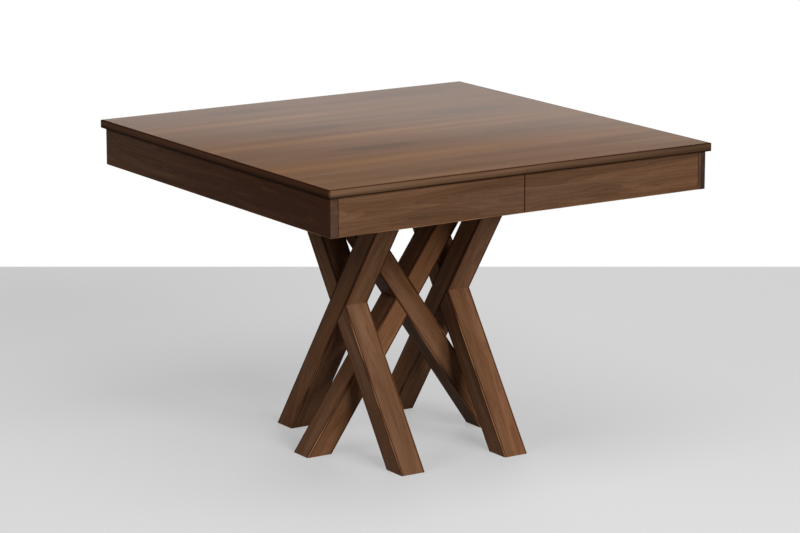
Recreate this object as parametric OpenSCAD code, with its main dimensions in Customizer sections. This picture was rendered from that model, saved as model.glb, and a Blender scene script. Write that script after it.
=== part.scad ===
// Extending table. A square top parts in the middle into two halves, which run apart on a
// pair of geared wooden slides. The base is three cross frames of half-lapped beams.
// Origin: on the floor under the middle of the closed top. X runs along the front edge,
// Y away from the front, Z up. Millimetres and degrees.

/* [Top] */
// Length of the closed top along X, the way in which it extends
top_len = 1067; // [1000:1:1300]
// Depth of the top along Y
top_depth = 1067; // [960:1:1300]
// Height of the upper face above the floor
table_h = 768; // [720:1:800]
// Thickness of the top
slab_t = 20.5; // [18:0.5:30]
// Radius of the eased edges of the top
slab_ease = 3.5; // [1:0.5:6]
// Radius of the upright corners of the top
slab_corner = 3; // [1:0.5:20]
// Gap between the closed halves
seam_gap = 0.4; // [0.2:0.1:1]

/* [Aprons] */
// How far the top stands out past the aprons
overhang = 10; // [4:1:40]
// Height of the aprons
apron_h = 91; // [80:1:120]
// Thickness of the aprons
apron_t = 20.5; // [18:0.5:28]
// Chamfer of the aprons' lower edges and outer corners
apron_ease = 1.2; // [0.4:0.2:3]
// Chamfer of the aprons' upright edges where two of them meet
joint_ease = 0.5; // [0.2:0.1:1.5]
// Leg of the triangular corner blocks
block_leg = 55; // [35:1:70]
// Height of the corner blocks
block_h = 50; // [30:1:60]
// Rise of the corner blocks above the aprons' lower edges
block_up = 15; // [5:1:20]

/* [Top buttons] */
// Width of the groove in the aprons that the buttons grip
groove_w = 8; // [5:0.5:10]
// Depth of that groove
groove_depth = 8; // [5:0.5:10]
// Wood between that groove and the top
groove_lip = 10; // [7:0.5:14]
// Distance from the ends of the side aprons at which the groove stops
groove_stop = 45; // [35:1:80]
// Width of a button along the apron
button_w = 25; // [18:1:35]
// Reach of a button from the apron
button_reach = 30; // [24:1:40]
// Thickness of a button's tongue
button_tongue = 7.5; // [5:0.5:8]
// Length of a button's tongue
button_grip = 7; // [4:0.5:8]
// Gap above a button, which lets its screw draw the top down
button_draw = 1; // [0.5:0.5:2]

/* [Base] */
// Width of a beam, square to its length, in the plane of its frame
beam_w = 56.5; // [48:0.5:60]
// Thickness of a beam, which is the thickness of its frame
beam_t = 65.5; // [50:0.5:68]
// Radius of the eased long edges of the beams
beam_ease = 2; // [0.5:0.5:4]
// Lean of the beams from upright
lean = 34.7; // [33.5:0.1:36]
// Distance from the centre to the outer tip of a foot
foot_reach = 287; // [278:1:300]
// Distance from the centre to the outer faces of the left and right frames
frame_out = 181; // [177:1:200]
// Height of the rails that join the beam tops
base_rail_h = 30; // [26:1:40]
// Length of those rails past what they carry
base_rail_over = 12; // [6:1:30]
// Diameter of the blind dowels in the laps
lap_dowel_d = 10; // [6:1:12]
// Length of the lap dowels
lap_dowel_len = 30; // [16:2:44]
// Distance between the two dowels of a lap
lap_dowel_pitch = 36; // [24:1:44]

/* [Slides] */
// Height of the slides, from the base rails to the top
slide_h = 57.5; // [56:0.5:64]
// Distance from the centre to each slide
slide_y = 200; // [150:1:260]
// Travel of each half
travel = 305; // [200:1:330]
// Thickness of a slide's centre rail
centre_t = 30; // [28:1:36]
// Thickness of the moving rails
rail_t = 30; // [26:1:40]
// Gap between the faces of the centre rail and the moving rails
slide_gap = 0.5; // [0.3:0.1:1]
// Gap between the top and what slides under it
slide_relief = 1; // [0.5:0.5:2]
// Height of the moving rails above the base rails
rail_lift = 2; // [1:0.5:4]
// Gap between a moving rail and the side apron of its own half
rail_end_gap = 13; // [8:1:20]
// Gap between a moving rail and the side apron of the other half
tail_gap = 73; // [60:1:90]
// Gap between the centre rails and the side aprons
centre_end_gap = 53; // [40:1:60]
// Distance of the stop pins from the ends of the centre rails
stop_inset = 12; // [8:1:20]
// Diameter of the stop pins
stop_d = 6; // [4:0.5:6]
// Gap left at a stop pin when a half is fully out
stop_clear = 0.5; // [0.3:0.1:1]

/* [Slide dovetails] */
// Height of the dovetail tongue at its neck
dove_neck = 8; // [6:0.5:9]
// Height of the dovetail tongue at its tip
dove_tip = 12; // [10:0.5:13]
// Depth of the dovetail tongue
dove_depth = 8; // [6.5:0.5:8.5]
// Clearance round the dovetail tongue
dove_fit = 0.3; // [0.2:0.1:0.5]
// Height of the dovetails' middle above the base rails
dove_up = 41; // [38:0.5:44]

/* [Gears] */
// Module of the racks and pinions
gear_module = 2.5; // [2:0.25:2.5]
// Number of teeth of a pinion
gear_teeth = 18; // [18:1:22]
// Thickness of the racks and pinions
gear_t = 10; // [6:0.5:10]
// Pressure angle of the teeth
pressure_angle = 20; // [18:1:22]
// Amount by which each tooth is thinner than its space
gear_slack = 0.2; // [0.15:0.05:0.3]
// Height of the racks and pinions above the base rails
gear_up = 10.7; // [8:0.1:12]
// Gap under and over a pinion in its window
pinion_float = 0.3; // [0.2:0.1:0.5]
// Gap round a pinion in its window
window_clear = 1.5; // [1:0.5:3]
// Thickness of a rack behind its teeth
rack_back = 3.4; // [2.5:0.1:5]
// Length of a rack past the pinion at each end of the travel
rack_spare = 4; // [2:1:8]
// Diameter of the pinion axles
axle_d = 8; // [6:0.5:8]
// Gap between an axle and what it goes through, on the radius
axle_fit = 0.05; // [0.03:0.01:0.1]
// Height of an axle's upper end above its pinion
axle_over = 10; // [6:0.5:11]
// Diameter of an axle's head
axle_head_d = 12; // [10:0.5:14]
// Height of an axle's head
axle_head_h = 3; // [2:0.5:4]

/* [Alignment pins] */
// Number of pins along the joint
align_count = 5; // [3:1:7]
// Distance from one pin to the next
align_pitch = 210; // [120:1:230]
// Diameter of the pins
align_d = 9; // [6:0.5:10]
// Length of a pin in the right half
align_in = 22; // [15:1:40]
// Length of a pin in the left half
align_out = 14; // [8:1:20]
// Taper at a pin's free end
align_taper = 2; // [1:0.5:4]
// Gap round a pin in the left half, on the radius
align_fit = 0.1; // [0.05:0.05:0.3]

/* [Locks] */
// Distance from the front and back aprons to the locks
lock_inset = 120; // [85:1:150]
// Thickness of the lock plates
plate_t = 2; // [1.5:0.5:3]
// Length of a lever plate along X
plate_len = 46; // [42:1:60]
// Width of a lever plate along Y
plate_w = 40; // [34:1:50]
// Gap between the joint and the plates
plate_gap = 10; // [6:1:14]
// Length of a keeper along X
keeper_len = 26; // [20:1:34]
// Width of a keeper along Y
keeper_w = 34; // [32:1:44]
// Thickness of the lever
lever_t = 3; // [2:0.5:4]
// Width of the lever's arm
lever_w = 21; // [18:0.5:24]
// Radius of the lever's eye
lever_eye_r = 12; // [10:0.5:14]
// Length of the lever's handle from its pivot
handle_len = 50; // [40:1:70]
// Width of the lever's handle
handle_w = 14; // [10:0.5:18]
// Length of the finger tab bent down at the handle's end
tab_h = 12; // [8:1:20]
// Diameter of the rivet in the lever
rivet_d = 8; // [6:0.5:10]
// Diameter of the rivet's head
rivet_head_d = 14; // [12:0.5:18]
// Height of the rivet's head
rivet_head_h = 1.5; // [1:0.5:3]
// Gap above and below the lever
lever_float = 0.2; // [0.1:0.1:0.4]
// Gap between the rivet and the lever's eye, on the radius
rivet_fit = 0.05; // [0.03:0.01:0.1]
// Diameter of the keeper's stud
stud_d = 6; // [5:0.5:7]
// Gap round the stud in the lever's hook
hook_clear = 0.4; // [0.3:0.1:0.6]

/* [Fasteners] */
// Shank diameter of the short screws
short_d = 4; // [3:0.5:4.5]
// Head diameter of the short screws
short_head_d = 7.6; // [6.5:0.2:8]
// Length of the short screws with their heads
short_len = 16; // [13:1:17]
// Bite of the short screws in the top, where they hold a button
short_bite = 10; // [8:0.5:11]
// Shank diameter of the slide screws
slide_screw_d = 4.5; // [4:0.5:5]
// Shank length of the slide screws
slide_screw_len = 34; // [30:1:38]
// Head diameter of the slide screws
slide_head_d = 9; // [8:0.5:9.5]
// Head height of the slide screws
slide_head_h = 3; // [2:0.5:4]
// Bite of the slide screws in the top
slide_bite_top = 12; // [8:0.5:14]
// Bite of the slide screws in the base rails
slide_bite_base = 22; // [15:0.5:24]
// Distance of the slide screws from the outer faces of the moving rails
slide_screw_in = 9.5; // [8:0.5:10.5]
// Shank diameter of the base screws
lag_d = 8; // [6:0.5:8]
// Head diameter of the base screws
lag_head_d = 14; // [12:0.5:14]
// Head height of the base screws
lag_head_h = 5; // [4:0.5:6]
// Bite of the base screws in the beams
lag_bite = 35; // [25:1:38]
// Distance between the two base screws of a beam
lag_pitch = 36; // [28:1:40]
// Depth of the base screws' heads below the rails' upper faces
lag_sink = 0.5; // [0.2:0.1:1]
// Diameter of the dowels in the apron corners
corner_dowel_d = 8; // [6:1:10]
// Length of the corner dowels in the side aprons
corner_dowel_in = 14; // [10:1:16]
// Length of the corner dowels in the front and back aprons
corner_dowel_out = 26; // [20:1:35]
// Distance between the two dowels of a corner
corner_dowel_pitch = 40; // [30:1:44]
// Gap round screws and glued dowels, on the radius
hole_fit = 0.1; // [0.05:0.05:0.2]
// Gap at the blind end of a hole
hole_end = 0.5; // [0.3:0.1:1]

/* [Hidden] */
$fn = 48;
spare = 10;
half_turn = 180;
slab_z = table_h - slab_t;
slab_mid = table_h - slab_t / 2;
half_out = top_len / 2 - overhang;
half_in = half_out - apron_t;
side_out = top_depth / 2 - overhang;
side_in = side_out - apron_t;
lock_y = side_in - lock_inset;
apron_z = slab_z - apron_h;
base_top = slab_z - slide_h;
beam_top = base_top - base_rail_h;
foot_w = beam_w / cos(lean);
foot_mid = foot_reach - foot_w / 2;
frame_mid = frame_out - beam_t / 2;
lap_z = foot_mid / tan(lean);
beam_top_out = beam_top * tan(lean) - foot_reach + foot_w;
base_rail_half = max(slide_y + centre_t / 2, beam_top_out) + base_rail_over;
lag_reach = (beam_top - lag_bite / 2) * tan(lean) - foot_mid;
lag_seat = base_top - lag_sink - lag_head_h;
lag_len = lag_seat - beam_top + lag_bite;
centre_half = half_in - centre_end_gap;
rail_front = half_in - rail_end_gap;
rail_tail = half_in - tail_gap;
rail_face = centre_t / 2 + slide_gap;
rail_back = rail_face + rail_t;
dove_z = base_top + dove_up;
dove_grade = (dove_tip - dove_neck) / 2 / dove_depth;
dove_reach = dove_depth - slide_gap + dove_fit;
stop_x = centre_half - stop_inset;
tongue_front = stop_x - stop_d / 2 - stop_clear - travel;
tongue_tail_gap = 5;
stop_y = centre_t / 2 - dove_reach / 2;
stop_top_gap = 0.5;
stop_len = slab_z - slide_relief - stop_top_gap - (dove_z - dove_tip);
pitch_r = gear_module * gear_teeth / 2;
base_r = pitch_r * cos(pressure_angle);
outer_r = pitch_r + gear_module;
tooth_foot = 1.25 * gear_module;
root_r = pitch_r - tooth_foot;
tooth_pitch = PI * gear_module;
tooth_w = tooth_pitch / 2 - gear_slack;
flank_steps = 5;
gear_z = base_top + gear_up;
rack_tail = travel + outer_r + rack_spare;
rack_front = outer_r + rack_spare;
rack_depth = pitch_r + tooth_foot + rack_back;
pivot_x = plate_gap + plate_len * 0.55;
stud_x = plate_gap + keeper_len / 2;
hook_r = pivot_x + stud_x;
lever_top = slab_z - plate_t - lever_float;
stud_z = lever_top - lever_t;
hook_open = 25;
short_cone_h = (short_head_d - short_d) / 2;
button_seat = short_len - short_bite;
slide_screw_y = rail_back - slide_screw_in;
slide_screw_xs = [60, rail_front / 2, rail_front - 50];
plate_screws = [
  [plate_gap + 8, -plate_w / 2 + 7],
  [plate_gap + plate_len - 8, plate_w / 2 - 7],
];
keeper_screw_y = keeper_w / 2 - 5.5;
button_spots = [
  [half_in * 0.3, -side_in, 0],
  [half_in * 0.75, -side_in, 0],
  [half_in * 0.3, side_in, half_turn],
  [half_in * 0.75, side_in, half_turn],
  [half_in, -side_in * 0.65, 90],
  [half_in, 0, 90],
  [half_in, side_in * 0.65, 90],
];
wood = "#5b3a26";
wood_dark = "#4a2d1d";
slide_wood = "#c8a878";
steel = "#8d9094";
brass = "#b08d4a";

// Rectangle about the origin with round corners
module eased_rect(size, r) {
  square([size.x - 2 * r, size.y], center = true);
  square([size.x, size.y - 2 * r], center = true);
  for (x = [-1, 1], y = [-1, 1])
    translate([x * (size.x / 2 - r), y * (size.y / 2 - r)])
      circle(r);
}

// What is modelled for the right half, turned half a turn for the left half
module on_half(side) {
  rotate([0, 0, side == "right" ? 0 : half_turn])
    children();
}

// Places for the two slides, at the front and at the back
module at_slide(place) {
  translate([0, place == "back" ? slide_y : -slide_y, 0])
    children();
}

// Upright hole or shank from z1 to z2
module upright(d, z1, z2) {
  translate([0, 0, z1])
    cylinder(d = d, h = z2 - z1);
}

// Countersunk screw that points up, with its head's flat face at the origin
module short_screw(gap = 0) {
  cylinder(d1 = short_head_d + 2 * gap, d2 = short_d + 2 * gap, h = short_cone_h);
  upright(short_d + 2 * gap, short_cone_h, short_len + (gap > 0 ? hole_end : 0));
}

// Screw with a flat head that points up, with its head's seat at the origin
module slide_screw() {
  upright(slide_head_d, -slide_head_h, 0);
  upright(slide_screw_d, 0, slide_screw_len);
}

// Whole top before it is parted, with eased edges all round
module slab_blank() {
  intersection() {
    translate([0, 0, slab_z - spare])
      linear_extrude(slab_t + 2 * spare)
        eased_rect([top_len, top_depth], slab_corner);
    translate([0, 0, slab_mid])
      rotate([90, 0, 0])
        linear_extrude(top_depth + 2 * spare, center = true)
          eased_rect([top_len, slab_t], slab_ease);
    translate([0, 0, slab_mid])
      rotate([90, 0, 90])
        linear_extrude(top_len + 2 * spare, center = true)
          eased_rect([top_depth, slab_t], slab_ease);
  }
}

// Places of the alignment pins along the joint
module at_align_pins() {
  for (i = [0 : align_count - 1])
    translate([0, (i - (align_count - 1) / 2) * align_pitch, slab_mid])
      rotate([0, 90, 0])
        children();
}

// Places of the screws that hold the moving rails of the right half
module at_right_rail_screws() {
  for (place = ["front", "back"], x = slide_screw_xs)
    at_slide(place)
      translate([x, -slide_screw_y, slab_z + slide_bite_top - slide_screw_len])
        children();
}

// Places of the short screws in the right half's buttons
module at_button_screws() {
  for (spot = button_spots)
    translate([spot.x, spot.y, slab_z - button_seat])
      rotate([0, 0, spot.z])
        translate([0, button_reach / 2, 0])
          children();
}

// Places of the short screws in the lever plates of the right half
module at_plate_screws() {
  for (y = [-lock_y, lock_y], spot = plate_screws)
    translate([spot.x, y + spot.y, slab_z - plate_t])
      children();
}

// Places of the short screws in the keepers of the left half
module at_keeper_screws() {
  for (y = [-lock_y, lock_y], dy = [-keeper_screw_y, keeper_screw_y])
    translate([-stud_x, y + dy, slab_z - plate_t])
      children();
}

// One half of the top, with the pilot holes of what is fixed to it
module top_half(side) {
  color(wood)
    difference() {
      intersection() {
        slab_blank();
        on_half(side)
          translate([seam_gap / 2, -top_depth, 0])
            cube([top_len, 2 * top_depth, table_h + spare]);
      }
      on_half(side) {
        at_button_screws()
          short_screw(hole_fit);
        at_right_rail_screws()
          upright(slide_screw_d + 2 * hole_fit, 0, slide_screw_len + hole_end);
      }
      if (side == "right") {
        at_plate_screws()
          short_screw(hole_fit);
        at_align_pins()
          upright(align_d + 2 * hole_fit, -spare, align_in + hole_end);
      } else {
        at_keeper_screws()
          short_screw(hole_fit);
        at_align_pins()
          upright(align_d + 2 * align_fit, -align_out - hole_end, spare);
      }
    }
}

// Cross-section of an apron without its groove, from its inner face, lower edges chamfered
module apron_section() {
  polygon([
    [apron_ease, 0], [apron_t - apron_ease, 0], [apron_t, apron_ease],
    [apron_t, apron_h], [0, apron_h], [0, apron_ease],
  ]);
}

// Outline of an apron from above, with its length along X and its outer face at y = 0.
// It reaches past both faces, and the outer face's ends are chamfered by ease1 and ease2.
module apron_plan(x1, x2, ease1, ease2) {
  translate([0, 0, apron_z - spare])
    linear_extrude(apron_h + 2 * spare)
      polygon([
        [x1, -apron_t - spare], [x2, -apron_t - spare],
        [x2, -ease2], [x2 - ease2 - spare, spare],
        [x1 + ease1 + spare, spare], [x1, -ease1],
      ]);
}

// Places of the dowels at the corners of the right half
module at_corner_dowels() {
  for (y = [-1, 1], dz = [-corner_dowel_pitch / 2, corner_dowel_pitch / 2])
    translate([half_in, y * (side_in + apron_t / 2), apron_z + apron_h / 2 + dz])
      rotate([0, 90, 0])
        children();
}

// Holes for the corner dowels
module corner_dowel_holes() {
  at_corner_dowels()
    upright(corner_dowel_d + 2 * hole_fit, -corner_dowel_out - hole_end,
            corner_dowel_in + hole_end);
}

// Front or back apron of one half, between the joint and the side apron
module long_apron(side, place) {
  turned = (side == "right") == (place == "front");
  color(wood)
    on_half(side)
      difference() {
        mirror([0, turned ? 1 : 0, 0])
          difference() {
            intersection() {
              translate([0, side_in, apron_z])
                rotate([90, 0, 90])
                  linear_extrude(half_in + spare)
                    apron_section();
              translate([0, side_out, 0])
                apron_plan(seam_gap / 2, half_in, joint_ease, joint_ease);
            }
            translate([-spare, side_in - spare, slab_z - groove_lip - groove_w])
              cube([half_in + 2 * spare, spare + groove_depth, groove_w]);
          }
        corner_dowel_holes();
      }
}

// Side apron of one half, over the whole depth, with a groove that stops short of its ends
module side_apron(side) {
  color(wood)
    on_half(side)
      difference() {
        intersection() {
          translate([half_in, side_out + spare, apron_z])
            rotate([90, 0, 0])
              linear_extrude(2 * (side_out + spare))
                apron_section();
          translate([half_out, 0, 0])
            rotate([0, 0, -90])
              apron_plan(-side_out, side_out, apron_ease, apron_ease);
          translate([half_in, 0, 0])
            rotate([0, 0, 90])
              apron_plan(-side_out, side_out, joint_ease, joint_ease);
        }
        translate([half_in - spare, groove_stop - side_out, slab_z - groove_lip - groove_w])
          cube([spare + groove_depth, 2 * (side_out - groove_stop), groove_w]);
        corner_dowel_holes();
      }
}

// Glued block in a corner between a side apron and a front or back apron
module corner_block(side, place) {
  turned = (side == "right") == (place == "front");
  color(slide_wood)
    on_half(side)
      mirror([0, turned ? 1 : 0, 0])
        translate([half_in, side_in, apron_z + block_up])
          linear_extrude(block_h)
            polygon([[0, 0], [-block_leg, 0], [0, -block_leg]]);
}

// Glued dowels in the apron corners of one half
module apron_dowels(side) {
  color(slide_wood)
    on_half(side)
      at_corner_dowels()
        upright(corner_dowel_d, -corner_dowel_out, corner_dowel_in);
}

// Wooden buttons, whose tongues hold the aprons up to the top
module top_buttons(side) {
  color(slide_wood)
    on_half(side)
      difference() {
        for (spot = button_spots)
          translate([spot.x, spot.y, slab_z])
            rotate([90, 0, 90 + spot.z])
              linear_extrude(button_w, center = true)
                polygon([
                  [-button_grip, -groove_lip - button_tongue],
                  [button_reach, -groove_lip - button_tongue],
                  [button_reach, -button_draw],
                  [0, -button_draw],
                  [0, -groove_lip],
                  [-button_grip, -groove_lip],
                ]);
        at_button_screws() {
          short_screw(hole_fit);
          upright(short_head_d + 4 * hole_fit, -groove_lip - button_tongue, 0);
        }
      }
}

// Short screws of one half: through its buttons and its lock plates into the top
module short_screws(side) {
  color(steel) {
    on_half(side)
      at_button_screws()
        short_screw();
    if (side == "right")
      at_plate_screws()
        short_screw();
    else
      at_keeper_screws()
        short_screw();
  }
}

// Dovetail outline in the Y-Z plane, pointing at the slide's middle from the face at -y_face
module dovetail(y_face, depth, gap) {
  neck = dove_neck / 2 + gap;
  tip = neck + dove_grade * depth;
  polygon([
    [-y_face - 1, -neck], [-y_face, -neck], [-y_face + depth, -tip],
    [-y_face + depth, tip], [-y_face, neck], [-y_face - 1, neck],
  ]);
}

// Extrudes an outline in the Y-Z plane along X from x1 to x2
module along_x(x1, x2) {
  translate([x1, 0, 0])
    rotate([90, 0, 90])
      linear_extrude(x2 - x1)
        children();
}

// Moving rail of the right half, at one slide: it lies on the -Y side of the centre rail
// and its dovetail tongue runs in the centre rail's groove
module moving_rail() {
  difference() {
    union() {
      translate([-rail_tail, -rail_back, base_top + rail_lift])
        cube([rail_tail + rail_front, rail_t, slab_z - base_top - rail_lift]);
      translate([0, 0, dove_z])
        along_x(tongue_tail_gap - rail_tail, tongue_front)
          dovetail(rail_face, dove_depth, 0);
    }
    translate([-rail_tail - spare, -rail_back - spare, slab_z - slide_relief])
      cube([rail_tail + 2 * spare, rail_t + 2 * spare, slide_relief + spare]);
    translate([-rack_tail, -rack_depth, gear_z])
      cube([rack_tail + rack_front, rack_depth, gear_t + hole_fit]);
    for (x = slide_screw_xs)
      translate([x, -slide_screw_y, slab_z + slide_bite_top - slide_screw_len]) {
        upright(slide_screw_d + 2 * hole_fit, -spare, slide_screw_len);
        upright(slide_head_d + 4 * hole_fit, -slide_h, 0);
      }
  }
}

// Rack of the right half, at one slide: its teeth point to the pinion in the +Y direction.
// With an odd pinion, the rack opposite the pinion's upper tooth has a tooth at the middle.
module rack() {
  first_gap = gear_teeth % 2 == 0 ? 0.5 : 0;
  lowest = ceil((tooth_pitch / 2 - rack_tail) / tooth_pitch - first_gap);
  highest = floor((rack_front - tooth_pitch / 2) / tooth_pitch - first_gap);
  tip_half = tooth_w / 2 - gear_module * tan(pressure_angle);
  foot_half = tooth_w / 2 + tooth_foot * tan(pressure_angle);
  rack_teeth([for (i = [lowest : highest]) (i + first_gap) * tooth_pitch], tip_half, foot_half);
}

// Rack bar with a tooth at each place in the list
module rack_teeth(places, tip_half, foot_half) {
  translate([0, 0, gear_z])
    linear_extrude(gear_t)
      polygon([
        [rack_front, -pitch_r - tooth_foot],
        [rack_front, -rack_depth],
        [-rack_tail, -rack_depth],
        [-rack_tail, -pitch_r - tooth_foot],
        for (x = places)
          each [
            [x - foot_half, -pitch_r - tooth_foot],
            [x - tip_half, -pitch_r + gear_module],
            [x + tip_half, -pitch_r + gear_module],
            [x + foot_half, -pitch_r - tooth_foot],
          ],
      ]);
}

// Angle through which an involute from the base circle has turned at radius r
function involute_turn(r) =
  let (t = sqrt(max(0, pow(r / base_r, 2) - 1)))
    t * half_turn / PI - atan(t);

// Half of the angle that a pinion's tooth takes up at radius r
function half_tooth(r) =
  tooth_w / 2 / pitch_r * half_turn / PI + involute_turn(pitch_r) - involute_turn(r);

// Point at radius r, turned through an angle from +Y
function at_angle(r, angle) = [r * sin(angle), r * cos(angle)];

// Pinion with involute teeth, one of which points along +Y
module pinion() {
  radii = [for (i = [0 : flank_steps]) base_r + (outer_r - base_r) * i / flank_steps];
  outline = [
    for (tooth = [0 : gear_teeth - 1])
      let (middle = 2 * half_turn * tooth / gear_teeth)
        each [
          at_angle(root_r, middle - half_tooth(base_r)),
          for (i = [0 : flank_steps]) at_angle(radii[i], middle - half_tooth(radii[i])),
          for (i = [flank_steps : -1 : 0]) at_angle(radii[i], middle + half_tooth(radii[i])),
          at_angle(root_r, middle + half_tooth(base_r)),
        ],
  ];
  translate([0, 0, gear_z])
    difference() {
      linear_extrude(gear_t)
        polygon(outline);
      upright(axle_d + 2 * axle_fit, -spare, gear_t + spare);
    }
}

// Fixed centre rail of a slide, with a groove in each side, a window for the pinion and
// holes for the axle, the stop pins and the screws into the base rails
module centre_rail() {
  difference() {
    translate([-centre_half, -centre_t / 2, base_top])
      cube([2 * centre_half, centre_t, slab_z - slide_relief - base_top]);
    for (turn = [0, half_turn])
      rotate([0, 0, turn]) {
        translate([0, 0, dove_z])
          along_x(-centre_half - spare, centre_half + spare)
            dovetail(centre_t / 2, dove_reach, dove_fit + dove_grade * slide_gap);
        translate([stop_x, -stop_y, slab_z - spare])
          upright(stop_d + 2 * hole_fit, spare - slide_relief - stop_top_gap - stop_len, spare);
        translate([frame_mid, 0, base_top + slide_screw_len - slide_bite_base]) {
          upright(slide_head_d + 4 * hole_fit, 0, slide_h);
          upright(slide_screw_d + 2 * hole_fit, -slide_h, spare);
        }
      }
    translate([-outer_r - window_clear, -centre_t, gear_z - pinion_float])
      cube([2 * (outer_r + window_clear), 2 * centre_t, gear_t + 2 * pinion_float]);
    upright(axle_d + 2 * axle_fit, base_top, gear_z + gear_t + axle_over + hole_end);
    upright(axle_head_d + 2 * hole_fit, base_top - spare, base_top + axle_head_h);
  }
}

// Headed pin on which a pinion turns, put in from below
module pinion_axle() {
  upright(axle_head_d, base_top, base_top + axle_head_h);
  upright(axle_d, base_top, gear_z + gear_t + axle_over);
}

// The two pinion axles
module pinion_axles() {
  color(steel)
    for (place = ["front", "back"])
      at_slide(place)
        pinion_axle();
}

// Steel pins across the grooves, which the tongues meet at the end of the travel
module slide_stop_pins() {
  color(steel)
    for (place = ["front", "back"], turn = [0, half_turn])
      at_slide(place)
        rotate([0, 0, turn])
          translate([stop_x, -stop_y, slab_z - slide_relief - stop_top_gap - stop_len])
            cylinder(d = stop_d, h = stop_len);
}

// Screws that hold the moving rails of one half to the top
module slide_screws(side) {
  color(steel)
    on_half(side)
      at_right_rail_screws()
        slide_screw();
}

// Screws that hold the centre rails to the base rails
module slide_screws_base() {
  color(steel)
    for (x = [-frame_mid, frame_mid], place = ["front", "back"])
      at_slide(place)
        translate([x, 0, base_top + slide_screw_len - slide_bite_base])
          mirror([0, 0, 1])
            slide_screw();
}

// Pins that line the halves up, glued in the right half
module alignment_pins() {
  color(slide_wood)
    at_align_pins() {
      upright(align_d, align_taper - align_out, align_in);
      translate([0, 0, -align_out])
        cylinder(d1 = align_d - 2 * align_taper, d2 = align_d, h = align_taper);
    }
}

// Plates under the right half that carry the lock levers
module lock_plates() {
  color(steel)
    difference() {
      for (y = [-lock_y, lock_y])
        translate([plate_gap, y - plate_w / 2, slab_z - plate_t])
          cube([plate_len, plate_w, plate_t]);
      at_plate_screws()
        short_screw(hole_fit);
    }
}

// Keepers under the left half, each with a stud that the lever hooks round
module lock_keepers() {
  color(steel)
    difference() {
      for (y = [-lock_y, lock_y])
        translate([-stud_x, y, 0]) {
          translate([-keeper_len / 2, -keeper_w / 2, slab_z - plate_t])
            cube([keeper_len, keeper_w, plate_t]);
          upright(stud_d, stud_z, slab_z - plate_t);
        }
      at_keeper_screws()
        short_screw(hole_fit);
    }
}

// Rivets on which the lock levers turn
module lock_rivets() {
  color(steel)
    for (y = [-lock_y, lock_y])
      translate([pivot_x, y, 0]) {
        upright(rivet_d, lever_top - lever_t - lever_float, slab_z - plate_t);
        upright(rivet_head_d, lever_top - lever_t - lever_float - rivet_head_h,
                lever_top - lever_t - lever_float);
      }
}

// Lock lever at rest along the joint. Turned a quarter turn, its hook closes round the
// keeper's stud: the slot is an arc about the pivot, open on the side that leads.
module lock_lever(y) {
  color(steel)
    translate([pivot_x, y, lever_top - lever_t])
      rotate([0, 0, 90])
        difference() {
          union() {
            linear_extrude(lever_t) {
              circle(lever_eye_r);
              translate([0, -lever_w / 2])
                square([hook_r, lever_w]);
              translate([hook_r, 0])
                circle(d = lever_w);
              translate([-handle_len, -handle_w / 2])
                square([handle_len, handle_w]);
            }
            translate([-handle_len, -handle_w / 2, -tab_h])
              cube([lever_t, handle_w, tab_h + lever_t]);
          }
          upright(rivet_d + 2 * rivet_fit, -spare, lever_t + spare);
          translate([0, 0, -spare])
            rotate_extrude(angle = hook_open)
              translate([hook_r - stud_d / 2 - hook_clear, 0])
                square([stud_d + 2 * hook_clear, lever_t + 2 * spare]);
          translate([hook_r, 0, 0])
            upright(stud_d + 2 * hook_clear, -spare, lever_t + spare);
        }
}

// Places of the base screws along one cross frame that stands in the X-Z plane
module at_frame_screws() {
  for (x = [-lag_reach, lag_reach], y = [-lag_pitch / 2, lag_pitch / 2])
    translate([x, y, lag_seat])
      children();
}

// Puts what is modelled in the X-Z plane where each frame stands
module at_frame(frame) {
  if (frame == "middle")
    children();
  else
    translate([frame == "left" ? -frame_mid : frame_mid, 0, 0])
      rotate([0, 0, 90])
        children();
}

// Holes for the base screws
module frame_screw_holes() {
  at_frame_screws() {
    upright(lag_head_d + 2 * hole_fit, 0, base_rail_h);
    upright(lag_d + 2 * hole_fit, -lag_len - hole_end, spare);
  }
}

// Places of the dowels in a lap
module at_lap_dowels() {
  for (dz = [-lap_dowel_pitch / 2, lap_dowel_pitch / 2])
    translate([0, 0, lap_z + dz])
      rotate([90, 0, 0])
        children();
}

// Straight leaning bar from the floor to the base rails, with its foot on the given side
module leaning_bar(foot_side) {
  intersection() {
    translate([foot_side * foot_mid, 0, 0])
      rotate([0, -foot_side * lean, 0])
        translate([0, 0, -beam_w])
          linear_extrude(beam_top / cos(lean) + 2 * beam_w)
            children();
    translate([-beam_top, -beam_top, 0])
      cube([2 * beam_top, 2 * beam_top, beam_top]);
  }
}

// Beam of a frame in the X-Z plane, halved on the notch side where the other beam crosses it
module beam(foot_side, notch_side) {
  difference() {
    leaning_bar(foot_side)
      eased_rect([beam_w, beam_t], beam_ease);
    intersection() {
      leaning_bar(-foot_side)
        square([beam_w, beam_t + 2 * spare], center = true);
      translate([-beam_top, notch_side > 0 ? 0 : -beam_t, 0])
        cube([2 * beam_top, beam_t, beam_top]);
    }
    at_lap_dowels()
      upright(lap_dowel_d + 2 * hole_fit, -lap_dowel_len / 2 - hole_end,
              lap_dowel_len / 2 + hole_end);
    frame_screw_holes();
  }
}

// Beams of the left and right frames: the ones with their feet at the back have whole
// outer faces towards -X, and the ones with their feet at the front are halved there
module side_frame_beam(frame, place) {
  color(wood_dark)
    at_frame(frame)
      beam(place == "back" ? 1 : -1, place == "back" ? -1 : 1);
}

// Beams of the middle frame: the one with its foot at the right has a whole front face
module middle_frame_beam(foot) {
  color(wood_dark)
    beam(foot == "right" ? 1 : -1, foot == "right" ? 1 : -1);
}

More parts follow.
